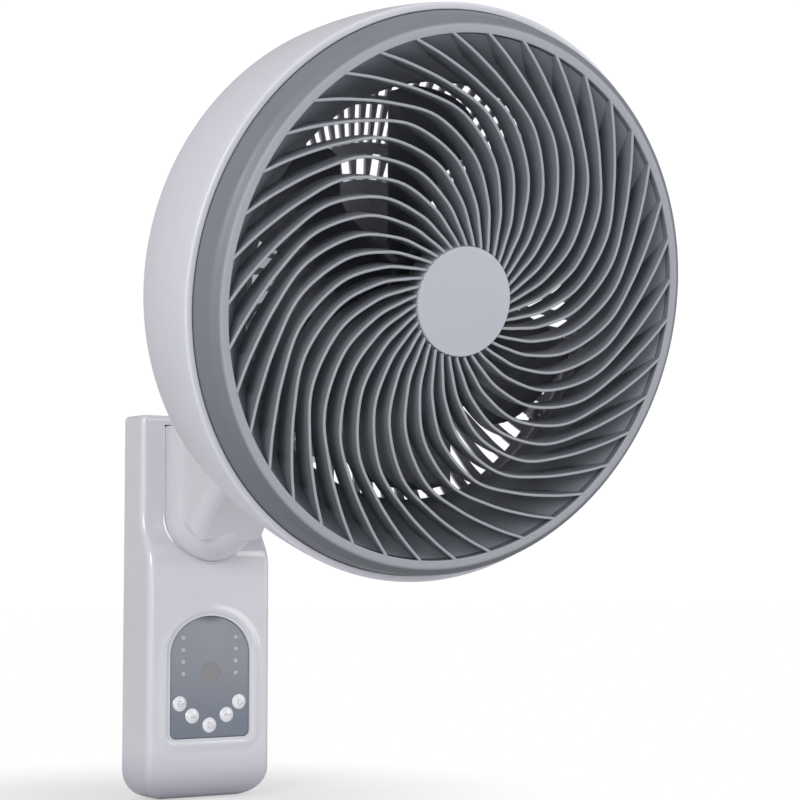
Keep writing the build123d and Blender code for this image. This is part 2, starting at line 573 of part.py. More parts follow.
def make_motor():
    teeth = ring(STATOR_R, 42.0, STATOR_REAR_Z, STATOR_FRONT_Z)
    tooth = Pos(36.0, 0, (STATOR_FRONT_Z + STATOR_REAR_Z) / 2) * Box(
        14.0, 4.4, STATOR_FRONT_Z - STATOR_REAR_Z)
    for i in range(STATOR_TEETH):
        teeth = teeth + Rot(0, 0, 360 / STATOR_TEETH * i) * tooth
    teeth = teeth - disc(ROTOR_CORE_R + AIR_GAP, -200, 0)
    through = [Rot(0, 0, 45 + 90 * i) * Pos(MOTOR_SCREW_R, 0, 0) for i in range(4)]
    for place in through:
        teeth = teeth - place * disc(1.7, -200, 0)
    keep("motor_stator", in_head(teeth))
    end_turns = Torus(36.5, 3.4)
    keep("motor_windings", in_head(Compound(children=[
        Pos(0, 0, STATOR_FRONT_Z + 3.4) * end_turns, Pos(0, 0, STATOR_REAR_Z - 3.4) * end_turns])))

    front = ring(53.0, STATOR_R, STATOR_FRONT_Z - 8.0, DOME_Z)
    front = front + ring(53.0, BEARING_R, DOME_Z - 2.0, DOME_Z)
    front = front + ring(15.0, BEARING_R, DOME_Z - 2.0, DOME_Z + 6.0)
    front = front + ring(15.0, SHAFT_R + 1.0, DOME_Z + 4.0, DOME_Z + 6.0)
    rear_z = STATOR_REAR_Z - 14.0
    rear = ring(53.0, STATOR_R, rear_z, STATOR_REAR_Z + 8.0)
    rear = rear + ring(53.0, BEARING_R, rear_z, rear_z + 3.0)
    rear = rear + ring(15.0, BEARING_R, rear_z - 4.0, rear_z + 3.0)
    rear = rear + disc(15.0, rear_z - 6.0, rear_z - 4.0)
    hinge = Pos(0, -HINGE_DROP, -HINGE_BACK)
    knuckle = hinge * Rot(0, 90, 0) * Cylinder(KNUCKLE_R, 2 * TONGUE_HALF_W)
    web = Pos(0, -(HINGE_DROP + 46.0) / 2, -HINGE_BACK) * Box(20.0, HINGE_DROP - 46.0, 14.0)
    web = web - disc(STATOR_R + 1.0, -400, 0)
    rear = rear + knuckle + web - hinge * Rot(0, 90, 0) * Cylinder(TILT_BOLT_R + BUSH_GAP, 60)
    for place in through:
        ear = place * disc(4.5, DOME_Z - 6.0, DOME_Z)
        rear_ear = place * disc(4.5, rear_z, rear_z + 6.0)
        front = front + ear - place * disc(1.7, -200, 0)
        rear = rear + rear_ear - place * disc(1.7, -200, 0)
    front = front - disc(BEARING_R, DOME_Z - 4.0, DOME_Z + 4.0)
    keep("motor_front_bracket", in_head(front))
    keep("motor_rear_bracket", in_head(rear))
    keep("motor_screws", in_head(Compound(children=[
        place * Pos(0, 0, DOME_Z + GRILLE_T) * screw(DOME_Z + GRILLE_T - rear_z, 1.6, 3.0, 2.0)
        for place in through])))
    keep("front_bearing", in_head(ring(BEARING_R, SHAFT_R, DOME_Z - 3.0, DOME_Z + 4.0)))
    keep("rear_bearing", in_head(ring(BEARING_R, SHAFT_R, rear_z - 4.0, rear_z + 3.0)))


def cover_outline(inset):
    r, z = COVER_R - inset, COVER_REAR_Z + inset
    return [
        Line((0, DOME_Z), (r + 2.0, DOME_Z)),
        Line((r + 2.0, DOME_Z), (r, -HINGE_BACK)),
        ThreePointArc((r, -HINGE_BACK), (r - 5.2, -HINGE_BACK - 15.5 + inset), (r - 18.0, z)),
        Line((r - 18.0, z), (0, z)),
        Line((0, z), (0, DOME_Z)),
    ]


def make_motor_cover():
    cover = revolve(Plane.XZ * make_face(cover_outline(0)), Axis.Z, 360)
    cover = cover - revolve(Plane.XZ * make_face(cover_outline(WALL)), Axis.Z, 360)
    slot = Pos(0, -COVER_R, -HINGE_BACK) * Box(20.6, 30.0, 14.6)
    cover = cover - slot
    for i in range(4):
        turn = Rot(0, 0, 90 * i)
        place = turn * Pos(COVER_SCREW_R, 0, 0)
        post = disc(3.6, DOME_Z - 14.0, DOME_Z) - disc(1.3, DOME_Z - 11.0, DOME_Z)
        cover = cover + place * post
    lines = [8.0 * k for k in range(-3, 4)]
    vents = Sketch() + [Pos(0, y) * SlotOverall(2 * sqrt(34.0 ** 2 - y ** 2), 3.0) for y in lines]
    cover = cover - Pos(0, 0, COVER_REAR_Z - 1) * extrude(vents, 4.5)
    keep("motor_cover", in_head(cover))
    keep("cover_screws", in_head(Compound(children=[
        Rot(0, 0, 90 * i) * Pos(COVER_SCREW_R, 0, DOME_Z + GRILLE_T) * screw(12, 1.3, 2.6, 1.8)
        for i in range(4)])))


# ---- control panel --------------------------------------------------------------------
def make_panel():
    back = PANEL_FACE - PANEL_T
    panel = extrude(to_front(0, 0, back) * panel_outline(), PANEL_T)
    panel = fillet(panel.edges().group_by(Axis.Y)[0], 0.6)
    leds = [(side * LED_X, LED_TOP_Z - LED_PITCH * i) for side in (-1, 1) for i in range(4)]
    for x, z in BUTTON_PLACES:
        panel = panel - to_front(x, z) * disc(BUTTON_R + 0.25, 0, 60)
    for x, z in leds:
        panel = panel - to_front(x, z) * disc(LED_R + 0.1, 0, 60)
    keep("control_panel", panel - to_front(0, IR_Z) * disc(IR_WINDOW_R, 0, 60))
    keep("sensor_window", to_front(0, IR_Z) * disc(IR_WINDOW_R, back, PANEL_FACE - 0.3))
    lamp = disc(LED_R, BOARD_FACE, PANEL_FACE - 0.6)
    lamp = lamp + Pos(0, 0, PANEL_FACE - 0.6) * (Sphere(LED_R) & disc(LED_R, 0, 0.8))
    keep("indicator_lamps", Compound(children=[to_front(x, z) * lamp for x, z in leds]))

    crown = BUTTON_R * 1.6
    cap = disc(BUTTON_R, back - 1.2, PANEL_FACE + 2.6)
    cap = cap & Pos(0, 0, PANEL_FACE + 2.4 - crown) * Sphere(crown)
    cap = cap + disc(BUTTON_R + 0.7, back - 1.4, back - 0.4) + disc(2.0, back - 2.8, back - 1.4)
    switch = disc(1.6, BOARD_FACE, BOARD_FACE + 5.2)
    switch = switch + Pos(0, 0, BOARD_FACE + 1.7) * Box(6.0, 6.0, 3.4)
    for index, (x, z) in enumerate(BUTTON_PLACES):
        keep(f"button_{index + 1}", to_front(x, z) * cap)
    keep("tact_switches", Compound(children=[to_front(x, z) * switch for x, z in BUTTON_PLACES]))
    eye = Pos(0, 0, 2.5) * Box(6.0, 7.0, 5.0)
    eye = eye + Pos(0, 1.0, 5.0) * (Sphere(2.4) & disc(3.0, 0, 3.0))
    keep("remote_receiver", to_front(0, IR_Z, BOARD_FACE) * eye)


def make_boards():
    board = Pos(0, BOARD_TOP_Z - BOARD_H / 2) * RectangleRounded(BOARD_W, BOARD_H, 3.0)
    board = extrude(to_front(0, 0, BOARD_FACE - 1.6) * board, 1.6)
    for x, z in BOARD_POSTS:
        board = board - to_front(x, z) * disc(1.3, 0, 60)
    keep("control_board", board)
    board = to_front(0, -48.0, 13.0) * extrude(RectangleRounded(86.0, 110.0, 2.0), 1.6)
    for x, z in POWER_POSTS:
        board = board - to_front(x, z) * disc(1.3, 0, 60)
    keep("power_board", board)
    front_screws = [to_front(x, z, 14.6) * screw(7.0, 1.2, 2.3, 1.6) for x, z in POWER_POSTS]
    rear_screws = [to_front(x, z, 30.4) * Rot(180, 0, 0) * screw(7.0, 1.2, 2.3, 1.6)
                   for x, z in BOARD_POSTS]
    keep("board_screws", Compound(children=front_screws + rear_screws))
    keep("power_components", Compound(children=[
        to_front(-22, -78, 21.1) * Box(20, 16, 13),
        to_front(10, -76, 21.6) * Box(30, 24, 14),
        to_front(-22, -40, 14.6) * disc(8.0, 0, 13.0),
        to_front(24, -34, 20.6) * Box(16, 12, 12),
        to_front(0, -8, 17.6) * Box(24, 10, 6),
    ]))


def make_wall_fixings():
    plate = to_front(0, 0, 0) * extrude(RectangleRounded(PLATE_W, PLATE_H, 6.0), PLATE_T)
    for x in (-WALL_HOLE_X / 2, WALL_HOLE_X / 2):
        for z in (-WALL_HOLE_Z / 2, WALL_HOLE_Z / 2):
            plate = plate - to_front(x, z) * disc(WALL_HOLE_R, -1, 6)
    plate = plate - to_front(0, CABLE_HOLE_Z) * disc(9.0, -1, 6)
    plate = plate - to_front(0, 45.0, -1) * extrude(RectangleRounded(36.0, 48.0, 6.0), 6)
    for x, z in PLATE_SCREWS:
        plate = plate - to_front(x, z) * disc(1.5, -1, 6)
    keep("wall_plate", plate)
    keep("plate_screws", Compound(children=[
        to_front(x, z, PLATE_T + 2.0) * screw(4.0, 1.5, 3.0, 2.0) for x, z in PLATE_SCREWS]))
    rubber = ring(8.0, 4.0, PLATE_T, PLATE_T + 5.0) + ring(10.0, 4.0, PLATE_T + 2.0, PLATE_T + 3.5)
    keep("cable_grommet", to_front(0, CABLE_HOLE_Z) * rubber)
    keep("bracket_screws", Compound(children=[
        to_front(x, z, 5.0) * Rot(180, 0, 0) * screw(16.0, 1.6, 3.0, 2.0) for x, z in CASE_SCREWS]))


make_front_shell()
make_back_shell()
make_neck()
make_swivel()
make_drum_shell()
make_rear_grille()
make_front_grille()
make_duct()
make_rotor()
make_motor()
make_motor_cover()
make_panel()
make_boards()
make_wall_fixings()

for name, shape in nodes.items():
    print(name, shape.is_valid, round(shape.volume))
    export_step(shape, f"parts/{name}.step")
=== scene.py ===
import json
from math import asin, cos, pi, radians, sin, sqrt, tan

import bmesh
import bpy
from mathutils import Matrix, Vector


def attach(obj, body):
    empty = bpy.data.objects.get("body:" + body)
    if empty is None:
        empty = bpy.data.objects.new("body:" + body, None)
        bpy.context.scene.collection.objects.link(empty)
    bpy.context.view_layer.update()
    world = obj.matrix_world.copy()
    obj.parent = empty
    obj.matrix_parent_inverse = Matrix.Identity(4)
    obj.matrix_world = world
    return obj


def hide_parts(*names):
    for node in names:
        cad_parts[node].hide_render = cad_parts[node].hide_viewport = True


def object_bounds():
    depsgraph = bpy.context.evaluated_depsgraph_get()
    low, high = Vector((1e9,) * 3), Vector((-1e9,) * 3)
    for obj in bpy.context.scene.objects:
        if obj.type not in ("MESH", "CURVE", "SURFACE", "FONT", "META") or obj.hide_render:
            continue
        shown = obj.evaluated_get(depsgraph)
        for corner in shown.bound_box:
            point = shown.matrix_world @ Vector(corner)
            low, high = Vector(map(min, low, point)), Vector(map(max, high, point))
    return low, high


# Wall mounted fan, in metres, in the CAD model's frame: the wall is Y = 0, the fan faces -Y.
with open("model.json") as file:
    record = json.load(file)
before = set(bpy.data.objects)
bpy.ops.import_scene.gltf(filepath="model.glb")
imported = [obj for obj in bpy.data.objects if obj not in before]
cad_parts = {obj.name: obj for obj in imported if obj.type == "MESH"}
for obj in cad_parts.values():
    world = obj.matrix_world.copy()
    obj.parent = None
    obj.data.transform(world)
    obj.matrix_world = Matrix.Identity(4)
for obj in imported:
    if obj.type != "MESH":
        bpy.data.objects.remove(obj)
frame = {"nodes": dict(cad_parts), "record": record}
cad_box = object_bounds()

MM = 0.001
HEAD_TILT = radians(12.7)
HEAD_CENTRE = Vector((0.0, -0.3727, 0.2102))
FORWARD = Vector((0.0, -cos(HEAD_TILT), -sin(HEAD_TILT)))
UP = Vector((0.0, -sin(HEAD_TILT), cos(HEAD_TILT)))
HEAD = Matrix.Translation(HEAD_CENTRE) @ Matrix((
    (1, 0, 0, 0),
    (0, UP.y, FORWARD.y, 0),
    (0, UP.z, FORWARD.z, 0),
    (0, 0, 0, 1),
))


# ---- shader maths -----------------------------------------------------------------------
class Field:
    """A number that varies over a surface: a node's output with arithmetic on it."""

    def __init__(self, finish, socket):
        self.finish = finish
        self.socket = socket

    def apply(self, operation, *values):
        return self.finish.node("ShaderNodeMath", {"operation": operation}, dict(enumerate(values)))

    def __add__(self, other):
        return self.apply("ADD", self, other)

    def __sub__(self, other):
        return self.apply("SUBTRACT", self, other)

    def __mul__(self, other):
        return self.apply("MULTIPLY", self, other)

    def __rsub__(self, other):
        return self.apply("SUBTRACT", other, self)

    __radd__ = __add__
    __rmul__ = __mul__

    def sqrt(self):
        return self.apply("SQRT", self)

    def size(self):
        return self.apply("ABSOLUTE", self)

    def either(self, other):
        """The larger of two fields."""
        return self.apply("MAXIMUM", self, other)

    def both(self, other):
        """The smaller of two fields."""
        return self.apply("MINIMUM", self, other)

    def above(self, edge, soft):
        """0 below edge, 1 above it, with a soft step."""
        return self.finish.node("ShaderNodeMapRange", {"interpolation_type": "SMOOTHSTEP"},
                                {"Value": self, "From Min": edge - soft, "From Max": edge + soft})

    def below(self, edge, soft):
        return 1 - self.above(edge, soft)


class Finish:
    """One procedural material, built on a Principled BSDF."""

    def __init__(self, name, **constants):
        self.material = bpy.data.materials.new(name)
        self.material.use_nodes = True
        self.tree = self.material.node_tree
        self.shader = self.tree.nodes["Principled BSDF"]
        self.set(**constants)
        self.place = self.node("ShaderNodeTexCoord", {}, {}, "Object")

    def connect(self, socket, value):
        if isinstance(value, Field):
            self.tree.links.new(value.socket, socket)
        elif isinstance(value, (tuple, list)) and len(value) == 3 and len(socket.default_value) == 4:
            socket.default_value = (*value, 1.0)
        else:
            socket.default_value = value

    def set(self, **sockets):
        """Sockets of the shader by name, with underscores for spaces."""
        for name, value in sockets.items():
            self.connect(self.shader.inputs[name.replace("_", " ").title().replace("Ior", "IOR")], value)

    def node(self, kind, settings, sockets, output=0):
        """Add one node: its settings first, then its sockets' values or links."""
        made = self.tree.nodes.new(kind)
        for name, value in settings.items():
            if name == "stops":
                ramp = made.color_ramp.elements
                while len(ramp) < len(value):
                    ramp.new(0.5)
                for element, (position, color) in zip(ramp, value):
                    element.position = position
                    element.color = (*color, 1.0)
            else:
                setattr(made, name, value)
        for name, value in sockets.items():
            self.connect(made.inputs[name], value)
        return Field(self, made.outputs[output])

    def noise(self, size, detail=2.0, roughness=0.5, stretch=(1, 1, 1)):
        """Noise from 0 to 1 whose marks are about size metres across."""
        where = self.node("ShaderNodeMapping", {}, {"Vector": self.place, "Scale": stretch})
        return self.node("ShaderNodeTexNoise", {}, {
            "Vector": where, "Scale": 1.0 / size, "Detail": detail, "Roughness": roughness})

    def mix(self, factor, low, high):
        """Colour mix."""
        return self.node("ShaderNodeMix", {"data_type": "RGBA"}, {0: factor, 6: low, 7: high}, 2)

    def bump(self, height, distance, strength=1.0):
        self.connect(self.shader.inputs["Normal"], self.node("ShaderNodeBump", {}, {
            "Height": height, "Distance": distance, "Strength": strength}))

    def axis(self, name):
        """One of the object coordinates, in metres."""
        return self.node("ShaderNodeSeparateXYZ", {}, {"Vector": self.place}, name)

    def along(self, direction):
        """Distance from the head's centre in one direction, in metres."""
        reach = self.node("ShaderNodeVectorMath", {"operation": "DOT_PRODUCT"},
                          {0: self.place, 1: tuple(direction)}, "Value")
        return reach - HEAD_CENTRE.dot(direction)

    def clouded(self, dark, light):
        """Colour with faint cloudiness."""
        return self.mix(self.noise(0.035, detail=3.0), dark, light)


def tint(color, by):
    return [min(1.0, c * by) for c in color]


def moulded(name, color, roughness, grain=0.0009, depth=0.00003, blotch=0.02, coat=0.0):
    """Moulded plastic with fine grain. Its color is plain, or a function that shades the finish."""
    finish = Finish(name, coat_weight=coat, coat_roughness=0.08)
    if callable(color):
        base = color(finish)
    else:
        base = finish.clouded(tint(color, 1 - blotch), tint(color, 1 + blotch))
    finish.set(base_color=base, roughness=finish.noise(0.012, detail=4.0) * 0.10 + (roughness - 0.05))
    finish.bump(finish.noise(grain, detail=1.0), depth)
    return finish


def metal(name, color, roughness, stretch=(1, 1, 1), grain=0.0008, depth=0.00002):
    """Plated or machined metal with fine marks and uneven gloss."""
    finish = Finish(name, metallic=1.0)
    marks = finish.noise(grain, detail=2.0, stretch=stretch)
    cloud = finish.noise(0.006, detail=4.0)
    finish.set(base_color=finish.mix(cloud, tint(color, 0.86), color),
               roughness=marks * 0.18 + (roughness - 0.06))
    finish.bump(marks, depth)
    return finish


GRILLE_BODY = (0.175, 0.187, 0.212)
# The edge colour is a painted highlight, laid on the front edges of the bezel and vanes from the height
# below on.
PAINTED_EDGE_HIGHLIGHT = (0.33, 0.345, 0.375)
PAINTED_HIGHLIGHT_HEIGHT = 19.7 * MM   # in front of the drum's lip


def grille_color(finish):
    """Darker on the bezel's flank and towards its foot, as painted shade; lighter on the edges at the front,
    as a painted highlight.
    """
    upper = finish.clouded(tint(GRILLE_BODY, 0.96), tint(GRILLE_BODY, 1.04))
    # painted shade low down, then a painted highlight on the edges in front
    painted_foot_shade = finish.along(UP).below(-100 * MM, 120 * MM)
    front = finish.along(FORWARD).above(PAINTED_HIGHLIGHT_HEIGHT, 0.7 * MM)
    return finish.mix(front, finish.mix(painted_foot_shade, upper, tint(GRILLE_BODY, 0.66)), PAINTED_EDGE_HIGHLIGHT)


def bracket_color(finish):
    """White that turns a little grayer towards the bracket's foot, which is painted shade."""
    white = finish.clouded((0.615, 0.615, 0.655), (0.645, 0.645, 0.685))
    # painted shade: grayer and lilac low down
    return finish.mix(finish.axis("Z").below(-128 * MM, 22 * MM), white, (0.40, 0.395, 0.46))


def panel_color(finish):
    """Film that is darker and bluer low down, with faint upright streaks and a dark top."""
    height, across = finish.axis("Z"), finish.axis("X")
    film = finish.mix(height.below(-62 * MM, 45 * MM), (0.285, 0.295, 0.318), (0.155, 0.180, 0.225))
    streak = finish.noise(0.010, detail=3.0, stretch=(1.6, 1, 0.6)).above(0.52, 0.20)
    film = finish.mix(streak * 0.35, film, (0.215, 0.235, 0.275))
    drop = height + 8.5 * MM
    spot = (across * across * 1.6 + drop * drop * 14.0).sqrt().below(12 * MM, 10 * MM)
    return finish.mix(spot * 0.65, film, (0.07, 0.08, 0.10))


BUTTON_PLACES = (             # x and z in mm, left to right
    (-26.2, -75.3), (-15.2, -85.1), (0.0, -92.7), (15.2, -85.1), (26.2, -75.3),
)


class Mark:
    """Fields from 0 to 1 that draw round one spot of the bracket's front, in mm."""

    def __init__(self, finish, x, z):
        self.across = (finish.axis("X") - x * MM) * (1 / MM)
        self.up = (finish.axis("Z") - z * MM) * (1 / MM)
        self.away = (self.across * self.across + self.up * self.up).sqrt()

    def bar(self, x, z, half_width, half_height):
        wide = (self.across - x).size().below(half_width, 0.25)
        return wide.both((self.up - z).size().below(half_height, 0.25))

    def ring(self, radius):
        return (self.away - radius).size().below(0.35, 0.25)

    def arrow_heads(self):
        slanted = (self.across.size() + self.up.size() * 1.3 - 2.8).size().below(0.4, 0.25)
        return slanted.both(self.across.size().above(1.4, 0.2)).both(self.away.below(3.4, 0.3))


def button_color(finish):
    """White with a small generic symbol on each button: sound, speed, timer, swing and power."""
    sound, speed, timer, swing, power = (Mark(finish, x, z) for x, z in BUTTON_PLACES)
    lines = [sound.ring(2.3), sound.bar(0, 0, 3.0, 0.4)]
    lines += [speed.bar((k - 1) * 1.4, (k - 2) * 0.5, 0.4, 0.9 + 0.5 * k) for k in range(3)]
    lines += [timer.ring(2.3), timer.bar(0, 0.8, 0.3, 1.0), timer.bar(0.6, 0, 0.8, 0.3)]
    lines += [swing.bar(0, 0, 2.6, 0.4), swing.arrow_heads()]
    lines += [power.ring(2.1).both(1 - power.bar(0, 2.0, 0.9, 1.2)), power.bar(0, 1.6, 0.3, 1.2)]
    symbols = lines[0]
    for line in lines[1:]:
        symbols = symbols.either(line)
    return finish.mix(symbols * 0.6, (0.80, 0.80, 0.84), (0.26, 0.26, 0.30))


finishes = {
    "shell_white": moulded("drum_shell_white", (0.64, 0.64, 0.69), 0.30, coat=0.25),
    "bracket_white": moulded("bracket_gloss_white", bracket_color, 0.30, grain=0.004, depth=0.00001,
                             coat=0.9),
    "grille_gray": moulded("grille_satin_gray", grille_color, 0.42),
    "cap_silver": moulded("hub_cap_silver", (0.46, 0.475, 0.52), 0.36, grain=0.0006),
    "blade_charcoal": moulded("blade_charcoal", (0.060, 0.063, 0.072), 0.30, coat=0.3),
    "panel_gray": moulded("panel_film_gray", panel_color, 0.24, coat=0.5),
    "smoked_window": moulded("sensor_window_smoke", (0.235, 0.232, 0.245), 0.18, coat=0.8),
    "lamp_clear": moulded("lamp_frosted_clear", (0.44, 0.46, 0.49), 0.45),
    "button_white": moulded("button_gloss_white", button_color, 0.16, coat=1.0),
    "acetal": moulded("bush_acetal", (0.62, 0.62, 0.58), 0.40),
    "grommet_rubber": moulded("grommet_rubber", (0.012, 0.012, 0.013), 0.70, grain=0.0005),
    "circuit_board": moulded("circuit_board_green", (0.010, 0.075, 0.030), 0.35, blotch=0.10),
    "dark_electronics": moulded("component_black", (0.012, 0.012, 0.014), 0.50),
    "zinc_steel": metal("zinc_plated_steel", (0.56, 0.57, 0.58), 0.34),
    "screw_steel": metal("screw_zinc", (0.60, 0.60, 0.62), 0.30),
    "bearing_steel": metal("bearing_ground_steel", (0.66, 0.66, 0.69), 0.16),
    "cast_aluminium": metal("motor_cast_aluminium", (0.56, 0.57, 0.60), 0.48, grain=0.0015, depth=0.00008),
    "laminated_iron": metal("stator_laminations", (0.20, 0.20, 0.21), 0.50, stretch=(1, 12, 1)),
    "copper": metal("copper_winding", (0.62, 0.24, 0.10), 0.30, stretch=(1, 8, 1)),
}

slot_of = {part["node"]: part["material_slot"] for part in frame["record"]["subparts"]}
for node, piece in frame["nodes"].items():
    finish = finishes[slot_of[node]].material
    if not piece.material_slots:
        piece.data.materials.append(finish)
    for material_slot in piece.material_slots:
        material_slot.material = finish


# ---- meshes -----------------------------------------------------------------------------
NEARLY_STRAIGHT = radians(8)  # a corner that bends less stays as it is
LONGEST_ROUNDING = 0.45       # share of a side that one rounded corner may take


def add_piece(name, mesh, body, slot, node=None, crease=35.0, matrix=None):
    """Put a finished mesh in the scene as one piece of the object, riding on its CAD body."""
    if matrix is not None:
        mesh.transform(matrix)
    mesh.name = name
    mesh.polygons.foreach_set("use_smooth", [True] * len(mesh.polygons))
    mesh.set_sharp_from_angle(angle=radians(crease))
    if not mesh.materials:
        mesh.materials.append(finishes[slot].material)
    piece = bpy.data.objects.new(name, mesh)
    bpy.context.collection.objects.link(piece)
    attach(piece, body)
    if node:
        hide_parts(node)


def new_holder(name, data):
    """An object for data that modifiers or curve settings still shape."""
    holder = bpy.data.objects.new(name, data)
    bpy.context.collection.objects.link(holder)
    return holder


def to_plain_mesh(holder):
    """The mesh that an object's modifiers make, with the object itself taken away."""
    bpy.context.view_layer.update()
    mesh = bpy.data.meshes.new_from_object(holder.evaluated_get(bpy.context.evaluated_depsgraph_get()))
    holder.modifiers.clear()
    bpy.data.objects.remove(holder)
    return mesh


def to_mesh(bm, name):
    mesh = bpy.data.meshes.new(name)
    bm.to_mesh(mesh)
    bm.free()
    return mesh


def join_rings(bm, rings):
    """Faces between closed rings of vertices that themselves close into a loop."""
    for near, far in zip(rings, rings[1:] + rings[:1]):
        for i in range(len(near)):
            j = (i + 1) % len(near)
            bm.faces.new((near[i], far[i], far[j], near[j]))


def rounded(outline, steps=3):
    """A closed outline of (radius, height, corner radius) in mm with its corners rounded."""
    result = []
    count = len(outline)
    for i, corner in enumerate(outline):
        here = Vector(corner[:2])
        before, after = Vector(outline[i - 1][:2]) - here, Vector(outline[(i + 1) % count][:2]) - here
        if corner[2] == 0 or abs(before.angle(after) - pi) < NEARLY_STRAIGHT:
            result.append(here)
            continue
        reach = min(corner[2] / tan(before.angle(after) / 2),
                    LONGEST_ROUNDING * before.length, LONGEST_ROUNDING * after.length)
        start, end = here + before.normalized() * reach, here + after.normalized() * reach
        for k in range(steps + 1):
            t = k / steps
            result.append(start * (1 - t) ** 2 + here * 2 * t * (1 - t) + end * t ** 2)
    return result


def turned(radius, height, angle):
    """Where a radius and height in mm come to at an angle about the fan's axis, in metres."""
    return radius * MM * cos(angle), radius * MM * sin(angle), height * MM


def lathe(outline, turns):
    """Mesh of a closed (radius, height) outline in mm, turned about the fan's axis."""
    bm = bmesh.new()
    rings = [[bm.verts.new(turned(*spot, 2 * pi * k / turns)) for spot in outline] for k in range(turns)]
    join_rings(bm, rings)
    bmesh.ops.remove_doubles(bm, verts=bm.verts, dist=1e-7)
    bmesh.ops.recalc_face_normals(bm, faces=bm.faces)
    return to_mesh(bm, "lathe")


def add_turned(name, outline, turns, slot, node, body="head"):
    add_piece(name, lathe(outline, turns), body, slot, node, matrix=HEAD)


def smooth_curve(name, corners):
    """Bezier curve through points, each handle along the line between its neighbours."""
    data = bpy.data.curves.new(name, "CURVE")
    data.dimensions = "3D"
    data.resolution_u = 7
    spline = data.splines.new("BEZIER")
    spline.bezier_points.add(len(corners) - 1)
    for i, point in enumerate(spline.bezier_points):
        before, after = corners[max(i - 1, 0)], corners[min(i + 1, len(corners) - 1)]
        lean = (after - before) / (6 if 0 < i < len(corners) - 1 else 3)
        point.handle_left_type = point.handle_right_type = "FREE"
        point.co = corners[i]
        point.handle_left, point.handle_right = corners[i] - lean, corners[i] + lean
    return data


def arc(centre, radius, start, end, steps):
    """Points of a circle in the (radius, height) plane, from start to end degrees."""
    turns = [radians(start + (end - start) * k / steps) for k in range(steps + 1)]
    return [(centre[0] + radius * cos(a), centre[1] + radius * sin(a), 0) for a in turns]


def bend(start, middle, end, steps):
    """Points of a smooth curve between two points, drawn towards a middle one."""
    start, middle, end = Vector(start), Vector(middle), Vector(end)
    result = []
    for k in range(1, steps):
        t = k / steps
        point = start * (1 - t) ** 2 + middle * 2 * t * (1 - t) + end * t ** 2
        result.append((point.x, point.y, 0))
    return result


# ---- geometry nodes ---------------------------------------------------------------------
class Layout:
    """A Geometry Nodes tree under construction."""

    def __init__(self, name, **sizes):
        self.tree = bpy.data.node_groups.new(name, "GeometryNodeTree")
        self.tree.interface.new_socket("Geometry", in_out="INPUT", socket_type="NodeSocketGeometry")
        self.tree.interface.new_socket("Geometry", in_out="OUTPUT", socket_type="NodeSocketGeometry")
        kinds = {int: "NodeSocketInt", float: "NodeSocketFloat", bpy.types.Material: "NodeSocketMaterial"}
        self.values = {}
        for size, value in sizes.items():
            label = size.replace("_", " ").capitalize()
            socket = self.tree.interface.new_socket(label, in_out="INPUT", socket_type=kinds[type(value)])
            self.values[socket.identifier] = value
        self.given = self.tree.nodes.new("NodeGroupInput")

    def size(self, name):
        return self.given.outputs[name.replace("_", " ").capitalize()]

    def node(self, kind, settings, sockets, output=0):
        made = self.tree.nodes.new(kind)
        for name, value in settings.items():
            setattr(made, name, value)
        for name, value in sockets.items():
            if isinstance(value, bpy.types.NodeSocket):
                self.tree.links.new(value, made.inputs[name])
            else:
                made.inputs[name].default_value = value
        return made.outputs[output]

    def math(self, operation, a, b):
        return self.node("ShaderNodeMath", {"operation": operation}, {0: a, 1: b})

    def ring_of(self, shape):
        """The shape repeated about the fan's axis, Count times from First angle, in its finish."""
        step = self.math("DIVIDE", 2 * pi, self.size("count"))
        turn = self.math("ADD", self.math("MULTIPLY", self.node("GeometryNodeInputIndex", {}, {}), step),
                         self.size("first_angle"))
        spin = self.node("FunctionNodeEulerToRotation", {}, {
            0: self.node("ShaderNodeCombineXYZ", {}, {"Z": turn})})
        points = self.node("GeometryNodePoints", {}, {"Count": self.size("count")})
        copies = self.node("GeometryNodeInstanceOnPoints", {}, {
            "Points": points, "Instance": shape, "Rotation": spin})
        real = self.node("GeometryNodeRealizeInstances", {}, {"Geometry": copies})
        whole = self.node("GeometryNodeMergeByDistance", {}, {"Geometry": real, "Distance": 0.01 * MM})
        done = self.node("GeometryNodeSetMaterial", {}, {"Geometry": whole, "Material": self.size("finish")})
        self.tree.links.new(done, self.tree.nodes.new("NodeGroupOutput").inputs[0])

    def grow(self, data):
        """Run the tree on some curve or mesh data and return the plain mesh it makes."""
        holder = new_holder("holder", data)
        modifier = holder.modifiers.new("grow", "NODES")
        modifier.node_group = self.tree
        for identifier, value in self.values.items():
            modifier[identifier] = value
        return to_plain_mesh(holder)


# ---- bracket ----------------------------------------------------------------------------
PANEL_HALF_W = 35.0
PANEL_TOP = -7.7
PANEL_SPRING = -37.7          # the arch stands on the straight sides here
PANEL_BOTTOM = -102.3
PANEL_CORNER_R = 5.0
FRAME_PROFILE = (             # outwards from the panel and out of the wall, round one section
    (0.35, 42.8), (0.35, 43.8), (0.8, 44.3), (1.6, 44.9), (2.5, 45.45), (3.4, 45.9), (4.3, 46.2),
    (5.1, 46.3), (5.9, 46.22), (6.9, 45.95), (8.1, 45.55), (9.4, 45.22), (10.7, 45.05), (12.0, 45.01),
    (12.0, 44.4), (6.0, 43.6),
)
UPPER_DEPTH = 30.6            # the bracket's front face above and below its ramp, from the wall
LOWER_DEPTH = 45.0
RAMP_TOP_Z = 72.0
RAMP_H = 42.0
COLUMN_Y = -45.0              # the neck's column and its round foot
COLUMN_FOOT_Z = 72.0
COLUMN_TOP_Z = 140.5
BEAD_REACH = 37.5             # from the column's axis to the middle of the bead
BEAD_BACK = 1.0               # behind the bracket's front face
BEAD_R = 1.15


